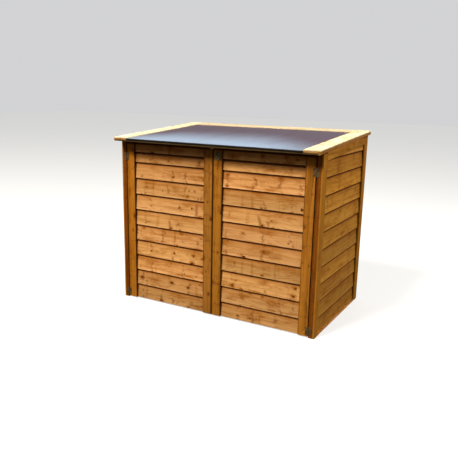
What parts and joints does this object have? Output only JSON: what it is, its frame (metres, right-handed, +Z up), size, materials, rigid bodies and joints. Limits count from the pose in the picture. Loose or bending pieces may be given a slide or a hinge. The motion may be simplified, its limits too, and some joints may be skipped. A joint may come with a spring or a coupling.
{
  "type": "garden storage cabinet",
  "caption": "Low timber garden store clad in lapped boards, with a pair of front doors, a sloping lid hinged at the back and a hasp between them.",
  "frame": {"origin": "on the ground, under the middle of the lid's outline", "axes": "+X along the front towards the right-hand door as seen from the front, +Y from the doors to the back, +Z up"},
  "size_m": [1.506, 1.0132, 1.2485],
  "materials": {
    "timber": "oiled, planed softwood",
    "frame_timber": "oiled, planed softwood",
    "pale_timber": "oiled, planed softwood",
    "roofing_sheet": "smooth satin roofing membrane",
    "zinc": "dull zinc-plated steel"
  },
  "bodies": {
    "cabinet": {"left_side_boards": "timber", "right_side_boards": "timber", "side_front_strips": "timber", "side_back_strips": "frame_timber", "side_slope_rails": "timber", "side_foot_laths": "pale_timber", "side_front_posts": "frame_timber", "side_back_posts": "frame_timber", "side_middle_battens": "frame_timber", "back_boards": "timber", "back_strips": "frame_timber", "back_top_rail": "frame_timber", "back_battens": "frame_timber", "floor_bearers": "frame_timber", "floor_boards": "timber", "front_header": "frame_timber", "door_hinge_frame_leaves": "zinc", "door_hinge_pins": "zinc", "lid_hinge_fixed_leaves": "zinc", "lid_hinge_pins": "zinc", "cabinet_screws": "zinc", "bolt_keep": "zinc"},
    "left_door": {"left_door_boards": "timber", "left_door_hinge_stile": "frame_timber", "left_door_meeting_stile": "frame_timber", "left_door_inner_stiles": "frame_timber", "left_door_ledges": "frame_timber", "left_door_middle_batten": "frame_timber", "left_door_hinge_leaves": "zinc", "left_door_screws": "zinc", "bolt_guide": "zinc"},
    "right_door": {"right_door_boards": "timber", "right_door_hinge_stile": "frame_timber", "right_door_meeting_stile": "frame_timber", "right_door_inner_stiles": "frame_timber", "right_door_ledges": "frame_timber", "right_door_middle_batten": "frame_timber", "right_door_hinge_leaves": "zinc", "right_door_screws": "zinc", "hasp_staple": "zinc"},
    "lid": {"lid_front_rail": "timber", "lid_back_rail": "timber", "lid_side_rails": "timber", "lid_bearers": "timber", "lid_deck": "timber", "lid_roofing_sheet": "roofing_sheet", "lid_side_trims": "pale_timber", "lid_back_trim": "pale_timber", "lid_fascias": "timber", "lid_hinge_lid_leaves": "zinc", "lid_screws": "zinc", "hasp_leaf": "zinc", "hasp_pin": "zinc"},
    "hasp_strap": {"hasp_strap": "zinc"},
    "door_bolt": {"bolt_rod": "zinc"}
  },
  "joints": [
    {"name": "left_door_hinge", "type": "hinge", "parent": "cabinet", "child": "left_door", "pos_m": [-0.70918, -0.43097, 0], "axis": [0, 0, -1], "range_deg": [0, 170]},
    {"name": "right_door_hinge", "type": "hinge", "parent": "cabinet", "child": "right_door", "pos_m": [0.70918, -0.43097, 0], "axis": [0, 0, 1], "range_deg": [0, 170]},
    {"name": "lid_hinge", "type": "hinge", "parent": "cabinet", "child": "lid", "pos_m": [0, 0.45623, 1.21489], "axis": [-1, 0, 0], "range_deg": [0, 98]},
    {"name": "hasp_hinge", "type": "hinge", "parent": "lid", "child": "hasp_strap", "pos_m": [0.036, -0.43317, 1.15621], "axis": [1, 0, 0], "range_deg": [0, 86]},
    {"name": "bolt_slide", "type": "slide", "parent": "left_door", "child": "door_bolt", "axis": [0, 0, 1], "range_m": [0, 0.024]}
  ]
}
